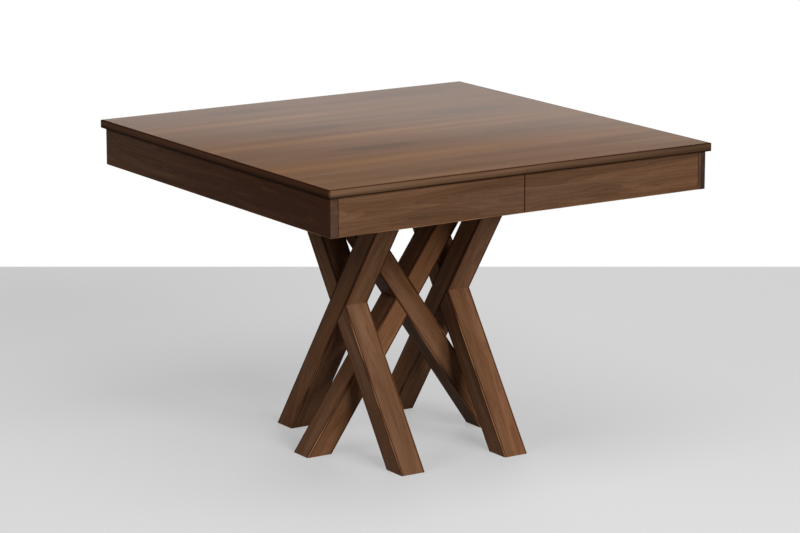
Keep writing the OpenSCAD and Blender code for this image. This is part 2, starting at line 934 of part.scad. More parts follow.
// Rail on the beam tops of one frame in the X-Z plane, before it is halved
module rail_blank() {
  difference() {
    translate([-base_rail_half, -beam_t / 2, beam_top])
      cube([2 * base_rail_half, beam_t, base_rail_h]);
    frame_screw_holes();
  }
}

// Rail of the left or right frame, halved from below over the middle rail
module side_base_rail(frame) {
  color(wood_dark)
    difference() {
      at_frame(frame)
        rail_blank();
      translate([-base_rail_half - spare, -beam_t / 2, beam_top - spare])
        cube([2 * (base_rail_half + spare), beam_t, base_rail_h / 2 + spare]);
      frame_screw_holes();
      for (x = [-frame_mid, frame_mid], y = [-slide_y, slide_y])
        translate([x, y, 0])
          upright(slide_screw_d + 2 * hole_fit, base_top - slide_bite_base - hole_end,
                  base_top + spare);
    }
}

// Rail of the middle frame, halved from above under the two others
module middle_base_rail() {
  color(wood_dark)
    difference() {
      rail_blank();
      for (x = [-frame_mid, frame_mid])
        translate([x - beam_t / 2, -beam_t, beam_top + base_rail_h / 2])
          cube([beam_t, 2 * beam_t, base_rail_h]);
    }
}

// Long screws through the base rails into the beam tops
module base_screws() {
  color(steel)
    for (frame = ["left", "middle", "right"])
      at_frame(frame)
        at_frame_screws() {
          upright(lag_head_d, 0, lag_head_h);
          upright(lag_d, -lag_len, 0);
        }
}

// Blind dowels that pin the laps of the three frames
module lap_dowels() {
  color(slide_wood)
    for (frame = ["left", "middle", "right"])
      at_frame(frame)
        at_lap_dowels()
          cylinder(d = lap_dowel_d, h = lap_dowel_len, center = true);
}

// A slide's piece for one half, at the front or at the back
module slide_piece(side, place) {
  at_slide(place)
    on_half(side)
      children();
}

top_half("left");  // top_left
top_half("right");  // top_right
long_apron("left", "front");  // apron_front_left
long_apron("right", "front");  // apron_front_right
long_apron("left", "back");  // apron_back_left
long_apron("right", "back");  // apron_back_right
side_apron("left");  // apron_side_left
side_apron("right");  // apron_side_right
corner_block("left", "front");  // corner_block_front_left
corner_block("left", "back");  // corner_block_back_left
corner_block("right", "front");  // corner_block_front_right
corner_block("right", "back");  // corner_block_back_right
apron_dowels("left");  // apron_dowels_left
apron_dowels("right");  // apron_dowels_right
top_buttons("left");  // top_buttons_left
top_buttons("right");  // top_buttons_right
short_screws("left");  // short_screws_left
short_screws("right");  // short_screws_right
color(slide_wood) slide_piece("left", "front") moving_rail();  // slide_rail_left_front
color(slide_wood) slide_piece("left", "back") moving_rail();  // slide_rail_left_back
color(slide_wood) slide_piece("right", "front") moving_rail();  // slide_rail_right_front
color(slide_wood) slide_piece("right", "back") moving_rail();  // slide_rail_right_back
color(brass) slide_piece("left", "front") rack();  // rack_left_front
color(brass) slide_piece("left", "back") rack();  // rack_left_back
color(brass) slide_piece("right", "front") rack();  // rack_right_front
color(brass) slide_piece("right", "back") rack();  // rack_right_back
slide_screws("left");  // slide_screws_left
slide_screws("right");  // slide_screws_right
slide_screws_base();
color(slide_wood) at_slide("front") centre_rail();  // slide_centre_front
color(slide_wood) at_slide("back") centre_rail();  // slide_centre_back
slide_stop_pins();
color(brass) at_slide("front") pinion();  // pinion_front
color(brass) at_slide("back") pinion();  // pinion_back
pinion_axles();
alignment_pins();
lock_plates();
lock_rivets();
lock_keepers();
lock_lever(-lock_y);  // lock_lever_front
lock_lever(lock_y);  // lock_lever_back
side_base_rail("left");  // base_rail_left
side_base_rail("right");  // base_rail_right
middle_base_rail();  // base_rail_middle
base_screws();
lap_dowels();
side_frame_beam("left", "front");  // left_frame_front_foot_beam
side_frame_beam("left", "back");  // left_frame_back_foot_beam
side_frame_beam("right", "front");  // right_frame_front_foot_beam
side_frame_beam("right", "back");  // right_frame_back_foot_beam
middle_frame_beam("left");  // middle_frame_left_foot_beam
middle_frame_beam("right");  // middle_frame_right_foot_beam
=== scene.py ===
import math

import bmesh
import bpy
from mathutils import Matrix, Vector


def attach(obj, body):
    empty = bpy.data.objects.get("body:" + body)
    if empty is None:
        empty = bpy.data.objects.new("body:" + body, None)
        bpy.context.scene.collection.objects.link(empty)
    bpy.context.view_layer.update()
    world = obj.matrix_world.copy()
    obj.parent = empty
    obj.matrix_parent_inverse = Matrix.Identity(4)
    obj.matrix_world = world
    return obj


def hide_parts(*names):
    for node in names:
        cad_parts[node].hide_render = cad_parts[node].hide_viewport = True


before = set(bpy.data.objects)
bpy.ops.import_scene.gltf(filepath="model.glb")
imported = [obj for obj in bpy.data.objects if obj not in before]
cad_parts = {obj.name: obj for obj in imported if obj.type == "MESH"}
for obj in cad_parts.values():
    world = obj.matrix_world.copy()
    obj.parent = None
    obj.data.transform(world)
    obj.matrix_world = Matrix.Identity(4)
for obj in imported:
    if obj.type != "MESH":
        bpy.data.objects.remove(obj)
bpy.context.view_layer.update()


# Cross frames
# Six square-edged beams of solid walnut, stained and lacquered dead matt. Each one leans, is
# sawn level at the floor and under its rail, and is halved where it crosses its partner.
class Value:
    """A socket of a node tree. Arithmetic on it adds Math nodes."""

    def __init__(self, tree, socket):
        self.tree = tree
        self.socket = socket

    def math(self, operation, *others):
        return self.tree.math(operation, self, *others)

    def __add__(self, other):
        return self.math("ADD", other)

    def __sub__(self, other):
        return self.math("SUBTRACT", other)

    def __mul__(self, other):
        return self.math("MULTIPLY", other)

    def __truediv__(self, other):
        return self.math("DIVIDE", other)

    def __rsub__(self, other):
        return self.tree.math("SUBTRACT", other, self)

    def __rtruediv__(self, other):
        return self.tree.math("DIVIDE", other, self)

    def __neg__(self):
        return self.math("MULTIPLY", -1.0)

    def __abs__(self):
        return self.math("ABSOLUTE")

    __radd__ = __add__
    __rmul__ = __mul__


class Tree:
    """A node tree, of a finish or of a shape, that grows by one node at a time."""

    def __init__(self, owner):
        self.nodes = owner.nodes
        self.links = owner.links

    def node(self, kind, settings=None, sockets=None, take=0):
        made = self.nodes.new(kind)
        for name, setting in (settings or {}).items():
            if name == "stops":
                ramp = made.color_ramp.elements
                while len(ramp) < len(setting):
                    ramp.new(1.0)
                for stop, (place, colour) in zip(ramp, setting):
                    stop.position = place
                    stop.color = (*colour, 1.0)
            else:
                setattr(made, name, setting)
        for key, given in (sockets or {}).items():
            for value in given if isinstance(given, list) else [given]:
                if isinstance(value, Value):
                    self.links.new(value.socket, made.inputs[key])
                else:
                    made.inputs[key].default_value = value
        return Value(self, made.outputs[take]) if made.outputs else None

    def math(self, operation, *terms):
        return self.node("ShaderNodeMath", {"operation": operation}, dict(enumerate(terms)))

    def vector(self, x, y, z):
        return self.node("ShaderNodeCombineXYZ", {}, {0: x, 1: y, 2: z})

    def parts(self, vector):
        return [self.node("ShaderNodeSeparateXYZ", {}, {0: vector}, take=i) for i in range(3)]

    def on_vectors(self, operation, first, second, take=0):
        return self.node("ShaderNodeVectorMath", {"operation": operation}, {0: first, 1: second}, take)

    def noise(self, place, scale, detail=2.0, roughness=0.5, distortion=0.0):
        return self.node("ShaderNodeTexNoise", {}, {
            "Vector": self.on_vectors("MULTIPLY", place, scale), "Scale": 1.0,
            "Detail": detail, "Roughness": roughness, "Distortion": distortion,
        })

    def ramp(self, factor, stops):
        return self.node("ShaderNodeValToRGB", {"stops": stops}, {0: factor})

    def tint(self, factor, colour, by):
        """The colour multiplied by another, as far as the factor says."""
        return self.node("ShaderNodeMix", {"data_type": "RGBA", "blend_type": "MULTIPLY"},
                         {0: factor, 6: colour, 7: (*by, 1.0)}, take=2)

    def cover(self, factor, colour, other):
        """The colour hidden by another, as far as the factor says."""
        return self.node("ShaderNodeMix", {"data_type": "RGBA"},
                         {0: factor, 6: colour, 7: other}, take=2)

    def rise(self, value, low, high):
        """0 below low and 1 above high, with a smooth slope between them."""
        return self.node("ShaderNodeMapRange", {"interpolation_type": "SMOOTHSTEP"},
                         {0: value, 1: low, 2: high, 3: 0.0, 4: 1.0})

    def bump(self, height, distance, strength=1.0):
        return self.node("ShaderNodeBump", {},
                         {"Strength": strength, "Distance": distance, "Height": height})


def new_finish(name):
    material = bpy.data.materials.new(name)
    material.use_nodes = True
    material.node_tree.nodes.clear()
    return material, Tree(material.node_tree)


def coat(tree, **sockets):
    """Ends a finish in one Principled shader."""
    named = {key.replace("_", " "): value for key, value in sockets.items()}
    surface = tree.node("ShaderNodeBsdfPrincipled", {}, named)
    tree.node("ShaderNodeOutputMaterial", {}, {0: surface})


def on_board(tree, centre, along, across):
    """Place on a board: x along its grain, y across its width, z through its thickness."""
    along, across = Vector(along).normalized(), Vector(across).normalized()
    turn = Matrix((along, across, along.cross(across))).transposed().to_euler()
    here = tree.node("ShaderNodeTexCoord", take=3)
    return tree.node("ShaderNodeMapping", {"vector_type": "TEXTURE"},
                     {"Vector": here, "Location": centre, "Rotation": turn})


walnut_browns = [
    (0.14, (0.054, 0.024, 0.0100)),
    (0.26, (0.082, 0.037, 0.0160)),
    (0.40, (0.114, 0.052, 0.0230)),
    (0.50, (0.138, 0.064, 0.0290)),
    (0.61, (0.164, 0.078, 0.0370)),
    (0.76, (0.204, 0.100, 0.0500)),
]


def stained(browns, cast):
    """The same browns under a slightly different stain."""
    return [(place, tuple(part * change for part, change in zip(brown, cast))) for place, brown in browns]


def by_arris(tree, y, z, section, start, full):
    """1 beside the four long arrises of a board, and 0 further than start from its sides."""
    half_y, half_z = section[0] / 2, section[1] / 2
    return (tree.rise(abs(y), half_y - start, half_y - full)
            * tree.rise(abs(z), half_z - start, half_z - full))


untinted = (1.0, 1.0, 1.0)
past_any_end = 9.0


def walnut(name, centre, along, across, seed, section=None, pooling=0.9, worn_and_highlit_to=past_any_end,
           cuts=(), arcs=0.05, broad=0.55, shade=0.0, paler=0.0, cast=(1.0, 1.01, 1.08),
           reddened=0.0, heart=untinted):
    """Stained walnut under dead-matt lacquer: growth rings cut at a slant, flames, fine streaks,
    open pores, darker end grain, stain that pools beside arrises, and arrises worn lighter,
    which also paint the highlight that the eased edges catch.

    Arrises are worked where the board's section is given, and worn lighter, as wear and painted
    highlight, along the grain up to the given place. Stain also sits in the joints at the places
    of the cuts, either side of the centre.
    Shade darkens the faces, less by paler for each metre along the grain, and reddened does so
    towards the start of the grain. Heart tints the end grain beyond a line near its middle."""
    material, tree = new_finish(name)
    place = on_board(tree, centre, along, across)
    x, y, z = tree.parts(place)
    seeded = tree.on_vectors("ADD", place, (seed, 0.37 * seed, 0.61 * seed))
    drift = tree.noise(seeded, (1.9, 6.0, 6.0)) - 0.5
    sway = tree.vector(x, y + drift * 0.03, z + drift * 0.03)
    bands = tree.noise(tree.on_vectors("ADD", sway, (seed, seed, seed)), (3.0, 27.0, 27.0), 2.0, 0.5, 1.1)
    streaks = tree.noise(seeded, (4.0, 105.0, 105.0), 3.0, 0.55, 0.8)
    fibres = tree.noise(seeded, (24.0, 620.0, 620.0), 2.0)
    pores = tree.rise(tree.noise(seeded, (50.0, 1250.0, 1250.0), 1.0), 0.60, 0.72)
    rings = (y * 0.85 + z * 0.55 + drift * arcs) * 110.0 + bands * 7.0 + streaks * 0.6
    late_wood = tree.rise(rings.math("FRACT"), 0.30, 0.95)
    facing = tree.node("ShaderNodeTexCoord", take=1)
    lengthwise = tree.on_vectors("DOT_PRODUCT", facing, Vector(along).normalized(), take=1)
    end_grain = tree.rise(abs(lengthwise), 0.75, 0.92)
    flame = tree.rise(bands, 0.52, 0.62)
    tone = ((bands - 0.5) * broad + (flame - 0.4) * 0.06 + (streaks - 0.5) * 0.20 + (fibres - 0.5) * 0.12
            - late_wood * 0.08 + 0.56 - (1.0 - end_grain) * (shade - x * paler))
    colour = tree.ramp(tone, stained(walnut_browns, cast))
    hue = tree.noise(seeded, (0.8, 14.0, 14.0), 1.0)
    colour = tree.tint(tree.rise(hue, 0.50, 0.68), colour, (1.05, 0.98, 0.91))
    colour = tree.tint(tree.rise(1.0 - hue, 0.50, 0.68), colour, (0.94, 0.99, 1.06))
    towards_start = (1.0 - tree.rise(x, -0.50, 0.50)) * (1.0 - end_grain * 0.7)
    colour = tree.tint(towards_start * reddened, colour, (0.90, 0.74, 0.72))
    colour = tree.tint(pores * 0.45, colour, (0.48, 0.40, 0.36))
    colour = tree.tint(end_grain, colour, (0.53, 0.62, 0.72))
    colour = tree.tint(end_grain * tree.rise(z, -0.0045, -0.0030), colour, heart)
    for cut in cuts:
        in_joint = 1.0 - tree.rise(abs(abs(x) - cut), 0.0012, 0.0026)
        colour = tree.tint(in_joint, colour, (0.40, 0.30, 0.26))
    if section:
        patchy = tree.rise(tree.noise(seeded, (9.0, 22.0, 22.0)), 0.30, 0.62)
        pooled = by_arris(tree, y, z, section, 0.0052, 0.0042)
        # Arrises worn lighter: wear, and painted highlight that the eased edges would catch.
        rubbed_and_highlit = (by_arris(tree, y, z, section, 0.0025, 0.0016)
                  * (1.0 - tree.rise(x, worn_and_highlit_to - 0.10, worn_and_highlit_to)))
        colour = tree.tint(pooled * pooling, colour, (0.30, 0.19, 0.15))
        colour = tree.cover(rubbed_and_highlit * patchy * 0.8, colour, (0.330, 0.165, 0.078, 1.0))
    height = streaks * 0.35 + fibres * 0.2 - pores * 0.8
    coat(tree, Base_Color=colour, Roughness=0.46 + 0.10 * streaks + 0.12 * pores + 0.14 * end_grain,
         Normal=tree.bump(height, 0.00025, 0.5), Specular_IOR_Level=0.02)
    return material


def open_plan(name, inputs):
    """A Geometry Nodes tree with named inputs: the group, its Tree, and the inputs as values."""
    group = bpy.data.node_groups.new(name, "GeometryNodeTree")
    group.interface.new_socket("Geometry", in_out="OUTPUT", socket_type="NodeSocketGeometry")
    group.interface.new_socket("Geometry", in_out="INPUT", socket_type="NodeSocketGeometry")
    for label in inputs:
        group.interface.new_socket(label, in_out="INPUT", socket_type="NodeSocketFloat")
    group.interface.new_socket("Finish", in_out="INPUT", socket_type="NodeSocketMaterial")
    tree = Tree(group)
    entry = group.nodes.new("NodeGroupInput")
    return group, tree, {socket.name: Value(tree, socket) for socket in entry.outputs}


def close_plan(tree, shape, finish):
    """Ends a plan: its repeats are made real and the finish is put on."""
    real = tree.node("GeometryNodeRealizeInstances", {}, {0: shape})
    finished = tree.node("GeometryNodeSetMaterial", {}, {0: real, "Material": finish})
    tree.node("NodeGroupOutput", {}, {0: finished})


def make(name, plan, finish, sizes, points=()):
    """Runs a plan, from points where it repeats something, and keeps a plain mesh of it."""
    start = bpy.data.meshes.new(name)
    start.from_pydata(points, [], [])
    holder = bpy.data.objects.new(name + "_plan", start)
    bpy.context.scene.collection.objects.link(holder)
    run = holder.modifiers.new("plan", "NODES")
    run.node_group = plan
    for socket in plan.interface.items_tree:
        if socket.in_out == "INPUT" and socket.name != "Geometry":
            run[socket.identifier] = finish if socket.name == "Finish" else sizes[socket.name]
    shown = holder.evaluated_get(bpy.context.evaluated_depsgraph_get())
    piece = bpy.data.objects.new(name, bpy.data.meshes.new_from_object(shown))
    bpy.data.objects.remove(holder)
    bpy.context.scene.collection.objects.link(piece)
    return piece


past_the_ends = 0.1


def leaning_bar(foot, slope, width, thickness, height, ease=None):
    """Bar from under the floor to above the height, whose middle stands at foot + slope z."""
    tree = foot.tree
    low, high = -past_the_ends, height + past_the_ends
    line = tree.node("GeometryNodeCurvePrimitiveLine", {}, {
        "Start": tree.vector(foot + slope * low, 0.0, low),
        "End": tree.vector(foot + slope * high, 0.0, high),
    })
    line = tree.node("GeometryNodeSetCurveNormal", {"mode": "Z_UP"}, {0: line})
    outline = tree.node("GeometryNodeCurvePrimitiveQuadrilateral", {},
                        {"Width": thickness, "Height": width})
    if ease is not None:
        outline = tree.node("GeometryNodeFilletCurve", {"mode": "POLY"},
                            {0: outline, "Count": 5, "Radius": ease, "Limit Radius": True})
    return tree.node("GeometryNodeCurveToMesh", {}, {0: line, 1: outline, "Fill Caps": True})


def moved(shape, x, y, z, turn=(0.0, 0.0, 0.0)):
    tree = shape.tree
    return tree.node("GeometryNodeTransform", {},
                     {0: shape, "Translation": tree.vector(x, y, z), "Rotation": turn})


def without(shape, cuts):
    return shape.tree.node("GeometryNodeMeshBoolean", {"operation": "DIFFERENCE", "solver": "EXACT"},
                           {0: shape, 1: cuts})


def block(tree, x, y, z, size):
    return moved(tree.node("GeometryNodeMeshCube", {}, {"Size": size}), x, y, z)


def drill(tree, x, y, z, radius, depth, turn=(0.0, 0.0, 0.0)):
    """Cutter for a hole, which reaches as far out of the wood as into it."""
    rod = tree.node("GeometryNodeMeshCylinder", {}, {"Vertices": 24, "Radius": radius, "Depth": 2 * depth})
    return moved(rod, x, y, z, turn)


beam_width, beam_thickness, beam_ease = 0.0565, 0.0655, 0.002
foot_reach, frames_out = 0.287, 0.181
lean, beam_top = math.radians(34.7), 0.660
dowel_radius, dowel_length, dowels_apart = 0.0050, 0.030, 0.036
screw_radius, screw_bite, screws_apart = 0.0040, 0.035, 0.036
hole_fit, hole_end = 0.0001, 0.0005
foot_mid = foot_reach - beam_width / 2 / math.cos(lean)
frame_mid = frames_out - beam_thickness / 2
lap_height = foot_mid / math.tan(lean)
screw_reach = (beam_top - screw_bite / 2) * math.tan(lean) - foot_mid
quarter_turn = math.pi / 2

beam_plan, tree, given = open_plan("lapped_beam", [
    "Width", "Thickness", "Ease", "Foot", "Slope", "Height", "Halved Side", "Turn", "Shift",
])
cutter_over, cutter_wide, cutter_deep = 0.02, 2.0, 0.4
partner = leaning_bar(-given["Foot"], -given["Slope"], given["Width"],
                      given["Thickness"] + cutter_over, given["Height"])
spared_half = block(tree, 0.0, given["Halved Side"] * (-cutter_deep / 4), beam_top / 2,
                    (cutter_wide, cutter_deep / 2, cutter_wide))
end_size = (cutter_wide, cutter_deep, cutter_deep)
cuts = [
    without(partner, spared_half),
    block(tree, 0.0, 0.0, -cutter_deep / 2, end_size),
    block(tree, 0.0, 0.0, given["Height"] + cutter_deep / 2, end_size),
]
for side in (-1, 1):
    cuts.append(drill(tree, 0.0, 0.0, lap_height + side * dowels_apart / 2, dowel_radius + hole_fit,
                      dowel_length / 2 + hole_end, (quarter_turn, 0.0, 0.0)))
    cuts.append(drill(tree, given["Foot"] * (-screw_reach / foot_mid), side * screws_apart / 2,
                      given["Height"], screw_radius + hole_fit, screw_bite + hole_end))
whole = leaning_bar(given["Foot"], given["Slope"], given["Width"], given["Thickness"],
                    given["Height"], given["Ease"])
standing = moved(without(whole, cuts), given["Shift"], 0.0, 0.0, tree.vector(0.0, 0.0, given["Turn"]))
close_plan(tree, standing, given["Finish"])

# Side says to which side the foot stands, and halved on which face the lap is cut.
under_the_lap = 0.02
for node, shift, turn, side, halved, seed, shade in [
    ("left_frame_back_foot_beam", -frame_mid, quarter_turn, 1, -1, 1.3, -0.06),
    ("left_frame_front_foot_beam", -frame_mid, quarter_turn, -1, 1, 2.9, -0.11),
    ("right_frame_back_foot_beam", frame_mid, quarter_turn, 1, -1, 4.1, -0.06),
    ("right_frame_front_foot_beam", frame_mid, quarter_turn, -1, 1, 5.6, -0.07),
    # Painted shade: the middle frame's right-foot beam is darker, for the shadow the front frame casts on
    # it.
    ("middle_frame_right_foot_beam", 0.0, 0.0, 1, 1, 7.7, 0.08),
    ("middle_frame_left_foot_beam", 0.0, 0.0, -1, -1, 9.2, -0.07),
]:
    stand = Matrix.Rotation(turn, 3, "Z")
    up_the_beam = stand @ Vector((-side * math.sin(lean), 0.0, math.cos(lean)))
    over_the_beam = up_the_beam.cross(stand @ Vector((0, 1, 0)))
    finish = walnut("walnut_" + node, (shift, 0.0, lap_height), up_the_beam, over_the_beam, seed,
                    (beam_width, beam_thickness), worn_and_highlit_to=-under_the_lap, shade=shade)
    beam = make(node + "_wood", beam_plan, finish, {
        "Width": beam_width, "Thickness": beam_thickness, "Ease": beam_ease,
        "Foot": side * foot_mid, "Slope": -side * math.tan(lean), "Height": beam_top,
        "Halved Side": float(halved), "Turn": turn, "Shift": shift,
    })
    beam.data.shade_flat()
    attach(beam, "base")
    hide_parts(node)


# Lap dowels
# Two beech dowels in each crossing, glued blind into both halves of the lap.
def dress(slot, finish, *nodes):
    """Gives CAD nodes a finish."""
    for name in nodes:
        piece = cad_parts[name]
        for place in piece.material_slots:
            place.material = finish


def beech(name, along):
    """Planed and waxed beech, with its short dark flecks along the grain."""
    material, tree = new_finish(name)
    place = on_board(tree, (0.0, 0.0, 0.0), along, (along[1], along[2], along[0]))
    bands = tree.noise(place, (2.0, 45.0, 45.0), 3.0, 0.5, 0.4)
    fibres = tree.noise(place, (30.0, 700.0, 700.0), 2.0)
    flecks = tree.rise(tree.noise(place, (150.0, 1400.0, 1400.0), 1.0), 0.60, 0.68)
    handling = tree.rise(tree.noise(place, (7.0, 9.0, 9.0), 3.0), 0.45, 0.75)
    colour = tree.ramp(bands * 0.8 + fibres * 0.2, [
        (0.28, (0.42, 0.270, 0.145)), (0.50, (0.54, 0.368, 0.212)), (0.74, (0.63, 0.455, 0.280)),
    ])
    colour = tree.tint(flecks * 0.55, colour, (0.62, 0.49, 0.40))
    colour = tree.tint(handling * 0.35, colour, (0.84, 0.76, 0.66))
    coat(tree, Base_Color=colour, Roughness=0.44 + 0.10 * bands + 0.14 * flecks - 0.08 * handling,
         Normal=tree.bump(fibres * 0.4 - flecks, 0.0002, 0.5), Specular_IOR_Level=0.4)
    return material


beech_along_x = beech("beech_along_x", (1.0, 0.0, 0.0))
beech_along_y = beech("beech_along_y", (0.0, 1.0, 0.0))
dress("pale_wood", beech_along_x, "lap_dowels")


# Base rails and base screws
# Three rails of the same walnut lie on the beam tops and make the frames one base. The outer
# two are halved over the middle one, and long screws go down into the beams' end grain.
rail_height = 0.030
rail_mid = beam_top + rail_height / 2
for node, x, along, across, seed in [
    ("base_rail_left", -frame_mid, (0, 1, 0), (1, 0, 0), 11.0),
    ("base_rail_right", frame_mid, (0, 1, 0), (1, 0, 0), 12.4),
    ("base_rail_middle", 0.0, (1, 0, 0), (0, 1, 0), 13.9),
]:
    dress("dark_wood", walnut("walnut_" + node, (x, 0.0, rail_mid), along, across, seed), node)


def plated(name, colour, base, grain):
    """Metal with fine marks from its making, a little duller in patches."""
    material, tree = new_finish(name)
    here = tree.node("ShaderNodeTexCoord", take=3)
    dull = tree.noise(here, (120.0, 120.0, 120.0), 4.0)
    marks = tree.noise(here, grain, 2.0)
    metal = tree.ramp(dull, [(0.3, tuple(0.78 * part for part in colour)), (0.7, colour)])
    coat(tree, Base_Color=metal, Metallic=1.0, Roughness=base + 0.22 * dull + 0.06 * marks,
         Normal=tree.bump(marks, 0.00005, 0.4))
    return material


def frustum(tree, low_radius, high_radius, z, depth, sides=24):
    return moved(tree.node("GeometryNodeMeshCone", {}, {
        "Vertices": sides, "Radius Top": high_radius, "Radius Bottom": low_radius, "Depth": depth,
    }), 0.0, 0.0, z)


zinc = plated("zinc_plate", (0.60, 0.61, 0.64), 0.22, (900.0, 900.0, 900.0))
screw_plan, tree, given = open_plan("wood_screw", [
    "Shank", "Length", "Pitch", "Head", "Cone", "Cap", "Recess", "Pointing",
])
hair, overlap, shank_sides = 0.00001, 0.0001, 14
core = given["Shank"] * 0.74
core_start = given["Recess"] * 0.62 - given["Cap"]
tip = given["Shank"] * 1.6
threaded = given["Length"] - given["Cone"] - tip * 1.4

helix = tree.node("GeometryNodeCurveSpiral", {}, {
    "Resolution": shank_sides, "Rotations": threaded / given["Pitch"], "Height": threaded,
    "Start Radius": core * 1.02, "End Radius": core * 1.02,
})
helix = tree.node("GeometryNodeSetCurveNormal", {"mode": "Z_UP"}, {0: helix})
crest = tree.node("GeometryNodeCurvePrimitiveCircle", {},
                  {"Resolution": 4, 4: given["Shank"] - core * 1.04})
thread = moved(tree.node("GeometryNodeCurveToMesh", {}, {0: helix, 1: crest, "Fill Caps": True}),
               0.0, 0.0, given["Cone"] + tip * 0.2)
recess = []
for turn in (0.0, quarter_turn):
    slot = tree.node("GeometryNodeMeshCube", {}, {"Size": tree.vector(
        given["Recess"] * 2.0, given["Recess"] * 0.34, given["Recess"] * 1.1)})
    recess.append(moved(slot, 0.0, 0.0, -given["Cap"], (0.0, 0.0, turn)))
cap = frustum(tree, given["Head"] * 0.80, given["Head"], -given["Cap"], given["Cap"] * 0.45)
rim = frustum(tree, given["Head"], given["Head"], given["Cap"] * -0.56,
              given["Cap"] * 0.56 + 2 * hair)
seat = frustum(tree, given["Head"], given["Shank"], 0.0, given["Cone"])
head = tree.node("GeometryNodeMeshBoolean", {"operation": "UNION", "solver": "EXACT"},
                 {1: [cap, rim, seat]})
solid = tree.node("GeometryNodeJoinGeometry", {}, {0: [
    without(head, recess),
    frustum(tree, core, core, core_start, given["Length"] - tip - core_start, shank_sides),
    frustum(tree, core * 0.97, 0.0, given["Length"] - tip - overlap, tip + overlap, shank_sides),
    thread,
]})
screws = tree.node("GeometryNodeInstanceOnPoints", {}, {
    0: given["Geometry"], "Instance": solid, "Rotation": tree.vector(given["Pointing"], 0.0, 0.0),
})
close_plan(tree, screws, given["Finish"])


def islands(node):
    """Lowest and highest corner of each separate solid of a CAD node."""
    shape = bmesh.new()
    shape.from_mesh(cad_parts[node].data)
    bmesh.ops.remove_doubles(shape, verts=shape.verts, dist=1e-6)
    found, left = [], set(shape.verts)
    while left:
        reached, edge = set(), [left.pop()]
        while edge:
            vertex = edge.pop()
            reached.add(vertex)
            near = {link.other_vert(vertex) for link in vertex.link_edges} & left
            left -= near
            edge.extend(near)
        found.append([[pick(v.co[i] for v in reached) for i in range(3)] for pick in (min, max)])
    shape.free()
    return found


def drive_screws(node, body, up, **sizes):
    """Puts real screws where the CAD node has its plain ones. Their caps end where its heads do."""
    cap = sizes.get("Cap", 0.0)
    points = [((low[0] + high[0]) / 2, (low[1] + high[1]) / 2, low[2] + cap if up else high[2] - cap)
              for low, high in islands(node)]
    sizes = {"Cap": hair, "Cone": hair, "Pointing": 0.0 if up else math.pi, **sizes}
    piece = make(node + "_threaded", screw_plan, zinc, sizes, points)
    piece.data.shade_flat()
    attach(piece, body)
    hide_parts(node)


drive_screws("base_screws", "base", False,
             Shank=0.004, Length=0.0595, Pitch=0.0031, Head=0.007, Cap=0.005, Recess=0.0034)


# Slides
# Two geared slides of beech: a fixed centre rail with a groove in each side, and a moving rail
# of each half. A brass rack in each moving rail and a pinion between them pair the halves.
moving = [f"{side}_{place}" for side in ("left", "right") for place in ("front", "back")]
dress("pale_wood", beech_along_x, "slide_centre_front", "slide_centre_back",
      *[f"slide_rail_{where}" for where in moving])
brass = plated("milled_brass", (0.76, 0.55, 0.26), 0.20, (300.0, 2200.0, 2200.0))
dress("brass", brass, "pinion_front", "pinion_back", *[f"rack_{where}" for where in moving])
dress("steel", zinc, "pinion_axles", "slide_stop_pins")


# Top
# Two halves of board, veneered in walnut leaves that were sliced one after another from one
# log, so that the figure comes again from front to back. A solid lipping is eased all round.
half_top, board_under, board_top, lipping = 0.5335, 0.7475, 0.768, 0.0055
leaf_width, first_joint = 0.295, 0.008
eye_middles_and_reaches = [(-0.165, 0.125), (0.300, 0.150)]


